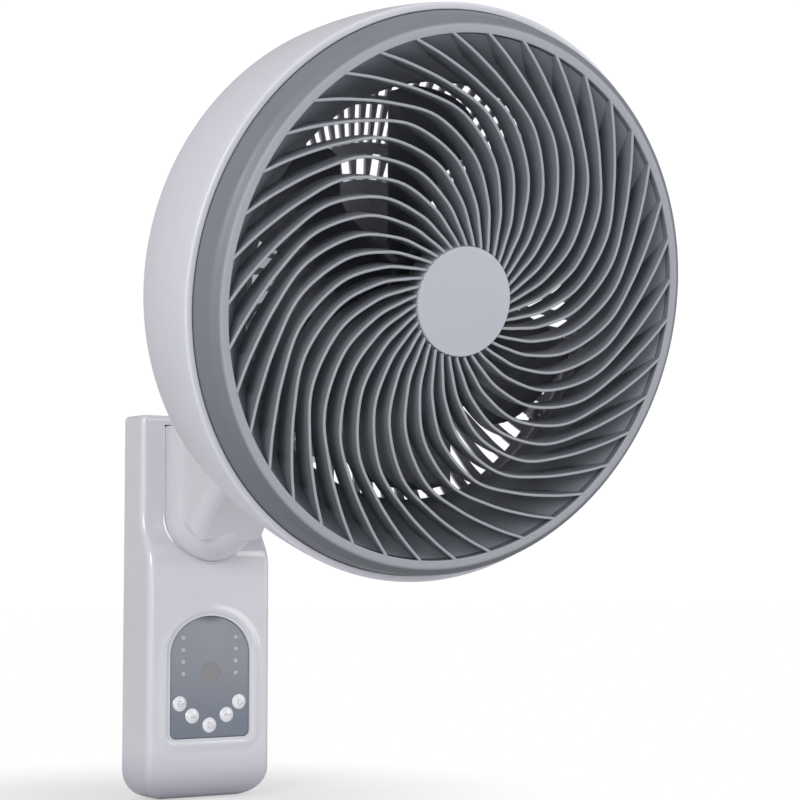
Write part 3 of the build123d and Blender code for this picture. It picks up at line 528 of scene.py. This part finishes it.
def panel_edge():
    """Points round the control panel with the outward direction at each, in (x, z)."""
    points = []
    arch = PANEL_TOP - PANEL_SPRING
    for k in range(65):
        a = pi * k / 64
        points.append((Vector((PANEL_HALF_W * cos(a), PANEL_SPRING + arch * sin(a))),
                       Vector((cos(a) / PANEL_HALF_W, sin(a) / arch)).normalized()))
    for side, start in ((-1, pi), (1, 1.5 * pi)):
        centre = Vector((side * (PANEL_HALF_W - PANEL_CORNER_R), PANEL_BOTTOM + PANEL_CORNER_R))
        for k in range(13):
            a = start + pi / 2 * k / 12
            out = Vector((cos(a), sin(a)))
            points.append((centre + out * PANEL_CORNER_R, out))
    return points


def make_panel_frame():
    """Soft raised frame round the control panel."""
    bm = bmesh.new()
    rings = []
    for point, out in panel_edge():
        ring = []
        for reach, depth in FRAME_PROFILE:
            spot = point + out * reach
            ring.append(bm.verts.new((spot.x * MM, -depth * MM, spot.y * MM)))
        rings.append(ring)
    join_rings(bm, rings)
    bmesh.ops.recalc_face_normals(bm, faces=bm.faces)
    add_piece("panel_frame", to_mesh(bm, "panel_frame"), "bracket", "bracket_white", crease=50.0)


def front_depth(z):
    """The bracket's front face at one height, from the wall."""
    t = min(max((RAMP_TOP_Z - z) / RAMP_H, 0.0), 1.0)
    return UPPER_DEPTH + (LOWER_DEPTH - UPPER_DEPTH) * t * t * (3 - 2 * t)


def make_neck_bead():
    """Slim bead in the joint between the neck's column and the lip of the bracket's cradle."""
    spots = [(BEAD_REACH, COLUMN_TOP_Z + (COLUMN_FOOT_Z - COLUMN_TOP_Z) * k / 6) for k in range(7)]
    for degrees in range(4, 87, 2):
        a = radians(degrees)
        spots.append((BEAD_REACH * cos(a), COLUMN_FOOT_Z - BEAD_REACH * sin(a)))
    left, right = [], []
    for reach, z in spots:
        y = BEAD_BACK - front_depth(z)
        behind = y - COLUMN_Y
        if reach > behind:
            x = sqrt(reach ** 2 - behind ** 2)
            left.append(Vector((-x, y, z)) * MM)
            right.append(Vector((x, y, z)) * MM)
    curve = smooth_curve("bead_line", left + right[::-1])
    curve.resolution_u = 3
    curve.bevel_depth = BEAD_R * MM
    curve.bevel_resolution = 3
    curve.use_fill_caps = True
    add_piece("neck_bead", to_plain_mesh(new_holder("bead", curve)), "bracket", "bracket_white")


# ---- front grille, drum and hub cap -----------------------------------------------------
VANE_LINE = (                 # radius in mm and sweep in degrees of one vane, hub to rim
    (36.9, -5.3), (48.0, 1.5), (68.0, 9.7), (95.6, 21.1),
    (123.0, 35.4), (141.6, 48.3), (160.0, 58.8), (176.0, 66.2),
)
VANES = 39
VANE_FIRST = 7.7
VANE_THICK = 2.0
VANE_DEPTH = 18.0
VANE_EDGE_R = 0.8
VANE_FLOOR = -157.4           # height of the vanes' back edges on the funnel, less their radius
RIM_FRONT = 20.5
BEZEL = (                     # outlines as (radius, height before the drum's lip, corner radius)
    (188.8, -7.0, 0), (188.8, 1.0, 2.0), (185.6, 16.0, 6.0), (179.4, 20.5, 2.5),
    (174.4, 20.5, 1.0), (175.2, -7.0, 0), (177.6, -7.0, 0), (177.0, 17.5, 0),
    (179.4, 17.5, 0), (183.4, 14.5, 0), (185.7, 1.0, 0), (185.7, -7.0, 0),
)
GRILLE_HUB = (
    (0, 15.0, 0), (37.5, 18.0, 0.5), (37.5, 2.5, 1.2), (31.5, 2.5, 0.8), (31.5, 10.0, 0), (0, 10.0, 0),
)
SHOULDER_AXIS = (157.0, -72.0)   # centre of the drum's round rear shoulder
SHOULDER_R = 28.0
DRUM_WALL = 3.0
CAP_RADII = (35.0, 30.0, 22.0, 13.0, 5.0, 0)
CAP_FRONT = 23.0
CAP_DOME_R = 440.0


def make_front_grille():
    add_turned("grille_bezel", rounded(BEZEL, steps=5), 180, "grille_gray", "front_grille")
    add_turned("grille_hub", rounded(GRILLE_HUB), 96, "grille_gray", "front_grille")

    middle = RIM_FRONT - VANE_DEPTH / 2
    line = [Vector(turned(radius, middle, radians(sweep))) for radius, sweep in VANE_LINE]
    layout = Layout("curved_vanes", count=VANES, first_angle=radians(VANE_FIRST),
                    thickness=VANE_THICK * MM, depth=VANE_DEPTH * MM, edge_rounding=VANE_EDGE_R * MM,
                    funnel_height=VANE_FLOOR * MM, finish=finishes["grille_gray"].material)
    profile = layout.node("GeometryNodeCurvePrimitiveQuadrilateral", {"mode": "RECTANGLE"}, {
        "Width": layout.size("thickness"), "Height": layout.size("depth")})
    profile = layout.node("GeometryNodeFilletCurve", {"mode": "POLY"}, {
        "Curve": profile, "Count": 3, "Radius": layout.size("edge_rounding")})
    path = layout.node("GeometryNodeSetCurveNormal", {"mode": "Z_UP"}, {"Curve": layout.given.outputs[0]})
    swept = layout.node("GeometryNodeCurveToMesh", {}, {
        "Curve": path, "Profile Curve": profile, "Fill Caps": True})
    # The vanes' back edges are lifted onto the funnel, which rises as fast as the radius grows.
    place = layout.node("GeometryNodeInputPosition", {}, {})
    flat = layout.node("ShaderNodeVectorMath", {"operation": "MULTIPLY"}, {0: place, 1: (1, 1, 0)})
    away = layout.node("ShaderNodeVectorMath", {"operation": "LENGTH"}, {0: flat}, "Value")
    lowest = layout.math("ADD", away, layout.size("funnel_height"))
    height = layout.node("ShaderNodeSeparateXYZ", {}, {0: place}, "Z")
    lift = layout.node("ShaderNodeCombineXYZ", {}, {
        "Z": layout.math("MAXIMUM", layout.math("SUBTRACT", lowest, height), 0.0)})
    layout.ring_of(layout.node("GeometryNodeSetPosition", {}, {"Geometry": swept, "Offset": lift}))
    vanes = layout.grow(smooth_curve("vane_line", line))
    add_piece("grille_vanes", vanes, "head", "grille_gray", "front_grille", crease=50.0, matrix=HEAD)


def make_drum():
    barrel = [(189.2, 0, 0.8), (194.0, 0, 1.6)]
    barrel += bend((194.0, -1.5), (192.9, -40.3), (184.3, -78.2), 14)
    barrel += arc(SHOULDER_AXIS, SHOULDER_R, -12.8, -24.0, 4)
    barrel += [(182.3, -84.0, 0.5), (176.5, -84.0, 0), (176.5, -81.0, 0)]
    barrel += arc(SHOULDER_AXIS, SHOULDER_R - DRUM_WALL, -21.1, -12.8, 3)
    barrel += bend((181.4, -77.5), (189.2, -43.4), (190.7, -12.0), 10)
    barrel += [(190.7, -12.0, 0), (184.0, -12.0, 0), (184.0, -7.0, 0), (189.2, -7.0, 0)]
    add_turned("drum_barrel", rounded(barrel), 192, "shell_white", "drum_shell")

    cap = [(0, 15.0, 0), (3.0, 15.0, 0), (3.0, 18.0, 0), (36.5, 18.0, 0.4), (36.5, 21.6, 1.3)]
    cap += [(r, CAP_FRONT - r * r / (2 * CAP_DOME_R), 0) for r in CAP_RADII]
    add_turned("hub_cap_disc", rounded(cap), 120, "cap_silver", "hub_cap")

    funnel = [(174.2, 16.5, 0.6), (147.5, -10.2, 0)]
    funnel += bend((147.5, -10.2), (141.5, -16.2), (141.5, -25.0), 7)
    funnel += [(141.5, -25.0, 0.6), (143.7, -25.0, 0.6)]
    funnel += bend((143.7, -25.0), (143.7, -17.4), (149.1, -12.1), 5)
    funnel += [(149.1, -12.1, 0), (172.0, 10.9, 0), (172.0, -10.0, 0), (184.0, -10.0, 0), (184.0, -7.0, 0),
               (174.2, -7.0, 0)]
    add_turned("duct_funnel", rounded(funnel), 180, "grille_gray", "air_duct_ring")


# ---- rear grille ------------------------------------------------------------------------
SECTORS = 42
GRILLE_BANDS = (              # slots in one sector, inner and outer radius, slot width
    (1, 71.0, 89.0, 7.6), (2, 97.0, 124.0, 4.8), (2, 130.0, 176.0, 6.8),
)
SLOT_CELLS = {1: (3,), 2: (1, 5)}   # open cells across a sector with one slot, or with two
HUB_ROWS = (24.0, 38.0, 52.0, 62.0, 66.0)
RIM_ROWS = (177.6, 179.2, 180.6, 181.4, 181.85)
ROW_PITCH = 5.0
GUARD_SHOULDER_R = 27.6       # outside of the guard on the drum's rear shoulder
DOME_EDGE_R = 163.7           # the shoulder ends here and the dome begins
DOME_EDGE_Z = -98.78
DOME_REACH = 97.7             # from the dome's edge in to the flat middle
DOME_SLOPE = 0.2493           # at the dome's edge
DOME_EASING = 0.114           # half of what the slope loses on the way in
GUARD_WALL = 3.0
SCREW_RING = 174.0
SCREWS = 6
SCREW_FIRST = 30.0
SCREW_WELL = ((0, -110.0), (3.3, -110.0), (3.3, -87.0), (0, -87.0))
SCREW_BOSS = (
    (1.8, -84.0, 0), (4.5, -84.0, 0), (4.5, -91.5, 0), (3.3, -91.5, 0), (3.3, -87.0, 0), (1.8, -87.0, 0),
)


def guard_height(radius):
    """Height of the guard's outside at one radius: the round shoulder, then a shallow dome."""
    if radius >= DOME_EDGE_R:
        return SHOULDER_AXIS[1] - sqrt(GUARD_SHOULDER_R ** 2 - (radius - SHOULDER_AXIS[0]) ** 2)
    u = min((DOME_EDGE_R - radius) / DOME_REACH, 1.0)
    return DOME_EDGE_Z - DOME_REACH * (DOME_SLOPE * u - DOME_EASING * u * u)


def guard_rows():
    """(radius, band) of each row of the guard's grid, from hub to rim; band -1 has no slots."""
    rows = [(r, -1) for r in HUB_ROWS]
    for band, (_, inner, outer, _) in enumerate(GRILLE_BANDS):
        steps = round((outer - inner) / ROW_PITCH)
        rows += [(inner + (outer - inner) * k / steps, band) for k in range(steps + 1)]
    return rows + [(r, -1) for r in RIM_ROWS]


def guard_columns(band, radius):
    """Angles of the grid's lines at one radius of one sector."""
    sector = 2 * pi / SECTORS
    count, _, _, width = GRILLE_BANDS[band]
    half = asin(width / 2 / radius)
    if count == 1:
        free = sector / 2 - half
        left = [0, 0.4 * free, 0.8 * free, free]
    else:
        left = [0, sector / 4 - half, sector / 4 + half, sector / 2 - 0.3 * (sector / 4 - half)]
    return left + [sector - a for a in reversed(left)]


def guard_sector():
    """One sector of the guard as a sheet with its slots open."""
    bm = bmesh.new()
    rows = guard_rows()
    grid = []
    for radius, band in rows:
        nearest = band if band >= 0 else (0 if radius in HUB_ROWS else len(GRILLE_BANDS) - 1)
        height = guard_height(radius)
        grid.append([bm.verts.new(turned(radius, height, a)) for a in guard_columns(nearest, radius)])
    for i in range(len(rows) - 1):
        band = rows[i][1]
        slotted = band >= 0 and rows[i + 1][1] == band
        gaps = SLOT_CELLS[GRILLE_BANDS[band][0]] if slotted else ()
        for j in range(len(grid[i]) - 1):
            if j not in gaps:
                bm.faces.new((grid[i][j], grid[i][j + 1], grid[i + 1][j + 1], grid[i + 1][j]))
    return to_mesh(bm, "guard_sector")


def screw_ring(name, outline):
    """A small turned part at each screw of the rear grille."""
    mesh = lathe(outline, 24)
    mesh.transform(Matrix.Translation((SCREW_RING * MM, 0, 0)))
    layout = Layout(name, count=SCREWS, first_angle=radians(SCREW_FIRST),
                    finish=finishes["shell_white"].material)
    layout.ring_of(layout.given.outputs[0])
    return layout.grow(mesh)


def make_rear_grille():
    layout = Layout("rear_grille_ring", count=SECTORS, first_angle=0.0,
                    finish=finishes["shell_white"].material)
    layout.ring_of(layout.given.outputs[0])
    guard = new_holder("whole_guard", layout.grow(guard_sector()))
    thick = guard.modifiers.new("thick", "SOLIDIFY")
    thick.thickness = GUARD_WALL * MM
    thick.offset = -1
    edges = guard.modifiers.new("edges", "BEVEL")
    edges.width = 0.5 * MM
    edges.segments = 1
    edges.limit_method = "ANGLE"
    edges.angle_limit = radians(50)
    wells = new_holder("wells", screw_ring("well_ring", [Vector(p) for p in SCREW_WELL]))
    cut = guard.modifiers.new("wells", "BOOLEAN")
    cut.object = wells
    mesh = to_plain_mesh(guard)
    bpy.data.objects.remove(wells)
    add_piece("rear_guard", mesh, "head", "shell_white", "rear_grille", matrix=HEAD)
    bosses = screw_ring("boss_ring", rounded(SCREW_BOSS))
    add_piece("guard_bosses", bosses, "head", "shell_white", "rear_grille", matrix=HEAD)


# ---- rotor ------------------------------------------------------------------------------
BLADES = 6
BLADE_FIRST = 38.1
BLADE_FRONT_Z = -33.0
BLADE_RINGS = (               # radius, chord and pitch in degrees
    (30.0, 50.0, 31.0), (44.0, 49.5, 28.0), (60.0, 51.0, 24.4), (72.0, 52.5, 21.0), (83.0, 56.5, 17.8),
    (94.0, 67.0, 15.0), (102.0, 75.5, 13.0), (109.0, 80.0, 11.6), (118.0, 80.5, 10.8), (126.0, 77.5, 10.4),
    (131.0, 69.0, 10.4), (134.0, 57.0, 10.8), (136.5, 40.0, 11.6), (138.0, 23.0, 12.6),
)
BLADE_OFFSET = 25.0           # from the axis to the line of the straight edge
BLADE_STRAIGHT_R = 50.0       # rows across a blade are straight up to here
BLADE_ROUND_R = 90.0          # and follow a circle about the axis from here on
BLADE_THICK = 2.4
BLADE_ARCH = 3.0              # height of the arch of a blade where its chord is ARCH_CHORD
ARCH_CHORD = 74.0
CHORD_STEPS = 14
ROTOR_HUB = (
    (4.0, -22.0, 0), (34.0, -22.0, 4.0), (34.0, -64.0, 0.8), (31.0, -64.0, 0.8), (31.0, -26.0, 0),
    (10.0, -26.0, 0), (10.0, -60.0, 0.5), (4.0, -60.0, 0),
)


def blade_sheet():
    """One blade as a sheet: rows across it at each radius, straight at the root, round at the tip."""
    bm = bmesh.new()
    rows = []
    for radius, chord, pitch in BLADE_RINGS:
        row = []
        roundness = (radius - BLADE_STRAIGHT_R) / (BLADE_ROUND_R - BLADE_STRAIGHT_R)
        roundness = min(max(roundness, 0.0), 1.0)
        for k in range(CHORD_STEPS + 1):
            s = k / CHORD_STEPS * 2 - 1
            back = (s - 1) * chord / 2
            across = BLADE_OFFSET + back * cos(radians(pitch))
            arch = BLADE_ARCH * (1 - s * s) * chord / ARCH_CHORD
            height = BLADE_FRONT_Z + back * sin(radians(pitch)) + arch
            reach = sqrt(radius ** 2 - roundness * across ** 2)
            row.append(bm.verts.new((reach * MM, across * MM, height * MM)))
        rows.append(row)
    for inner, outer in zip(rows, rows[1:]):
        for k in range(CHORD_STEPS):
            bm.faces.new((inner[k], inner[k + 1], outer[k + 1], outer[k]))
    return to_mesh(bm, "blade_sheet")


def make_rotor():
    one = new_holder("one_blade", blade_sheet())
    smooth = one.modifiers.new("smooth", "SUBSURF")
    smooth.levels = smooth.render_levels = 1
    thick = one.modifiers.new("thick", "SOLIDIFY")
    thick.thickness = BLADE_THICK * MM
    thick.offset = 0
    layout = Layout("ring_of_blades", count=BLADES, first_angle=radians(BLADE_FIRST),
                    finish=finishes["blade_charcoal"].material)
    layout.ring_of(layout.given.outputs[0])
    blades = layout.grow(to_plain_mesh(one))
    add_piece("rotor_blades", blades, "rotor", "blade_charcoal", "fan_blade", matrix=HEAD)
    add_turned("rotor_hub", rounded(ROTOR_HUB), 96, "blade_charcoal", "fan_blade", body="rotor")


# ---- stage ------------------------------------------------------------------------------
FLOOR_DROP = 0.5 * MM         # below the object, so that the two don't share a plane
SHADOW_START = 50 * MM        # up to here half of the floor's shading shows to the camera
SHADOW_END = 330 * MM         # and from here on it is plain white
WORLD_LIGHT = 0.48
WORLD_SEEN = 0.58             # more of it for the camera, which sees plain white
LIGHTS = (                    # name, place, aim, size and watts
    ("key_left", (-2.5, -2.1, 1.15), (0, -0.3, 0.12), (1.3, 1.6), 50),
    ("fill_right", (2.4, -2.2, 0.8), (0, -0.3, 0.15), (1.4, 1.8), 20),
    ("top", (0.0, -0.6, 2.6), (0, -0.2, 0.1), (2.0, 1.6), 5),
    ("high_window", (1.7, -2.6, 2.0), (0, -0.1, 0.05), (0.9, 0.7), 8),
    ("left_strip", (-2.35, -1.5, 0.0), (0, -0.05, 0.0), (0.22, 1.9), 6),
    ("front", (-1.0, -3.2, -0.2), (0, -0.3, 0.2), (0.9, 0.9), 9),
)


def make_floor():
    """Plain white floor that the camera sees without shading, except for the object's shadow."""
    bpy.ops.mesh.primitive_plane_add(size=12.0, location=(0, 0, cad_box[0][2] - FLOOR_DROP))
    floor = bpy.context.object
    floor.name = "studio_floor"
    finish = Finish("studio_floor_white", base_color=(0.80, 0.80, 0.81), roughness=0.8)
    seen = finish.node("ShaderNodeLightPath", {}, {}, "Is Camera Ray")
    away = finish.node("ShaderNodeVectorMath", {"operation": "LENGTH"}, {0: finish.place}, "Value")
    clear = away.above((SHADOW_START + SHADOW_END) / 2, (SHADOW_END - SHADOW_START) / 2)
    glow = finish.node("ShaderNodeEmission", {}, {"Color": (1, 1, 1, 1), "Strength": 1.0})
    mix = finish.node("ShaderNodeMixShader", {}, {0: seen * (clear * 0.5 + 0.5), 2: glow})
    finish.tree.links.new(finish.shader.outputs[0], mix.socket.node.inputs[1])
    finish.tree.links.new(mix.socket, finish.tree.nodes["Material Output"].inputs["Surface"])
    floor.data.materials.append(finish.material)


def make_world():
    world = bpy.data.worlds.new("studio_world")
    bpy.context.scene.world = world
    world.use_nodes = True
    tree = world.node_tree
    background = tree.nodes["Background"]
    background.inputs["Color"].default_value = (0.965, 0.97, 1.0, 1.0)
    path = tree.nodes.new("ShaderNodeLightPath")
    strength = tree.nodes.new("ShaderNodeMath")
    strength.operation = "MULTIPLY_ADD"
    strength.inputs[1].default_value = WORLD_SEEN
    strength.inputs[2].default_value = WORLD_LIGHT
    tree.links.new(path.outputs["Is Camera Ray"], strength.inputs[0])
    tree.links.new(strength.outputs[0], background.inputs["Strength"])


def make_lights():
    for name, place, aim, size, watts in LIGHTS:
        lamp = bpy.data.lights.new(name, "AREA")
        lamp.shape = "RECTANGLE"
        lamp.size, lamp.size_y = size
        lamp.energy = watts
        light = bpy.data.objects.new(name, lamp)
        light.location = place
        light.rotation_euler = (Vector(aim) - Vector(place)).to_track_quat("-Z", "Y").to_euler()
        bpy.context.collection.objects.link(light)


def make_camera():
    """The photograph's view: 33.3 degrees round to the left, looking up by 4.28 degrees."""
    lens = bpy.data.cameras.new("camera")
    lens.lens = 96.3
    lens.sensor_width = 36.0
    camera = bpy.data.objects.new("camera", lens)
    camera.location = (-0.8034, -1.5389, 0.0361)
    camera.rotation_euler = (radians(90 + 4.28), 0, radians(-33.3))
    bpy.context.collection.objects.link(camera)
    bpy.context.scene.camera = camera


make_panel_frame()
make_neck_bead()
make_front_grille()
make_drum()
make_rear_grille()
make_rotor()
make_camera()
make_floor()
make_world()
make_lights()
bpy.context.scene.view_settings.view_transform = "Standard"
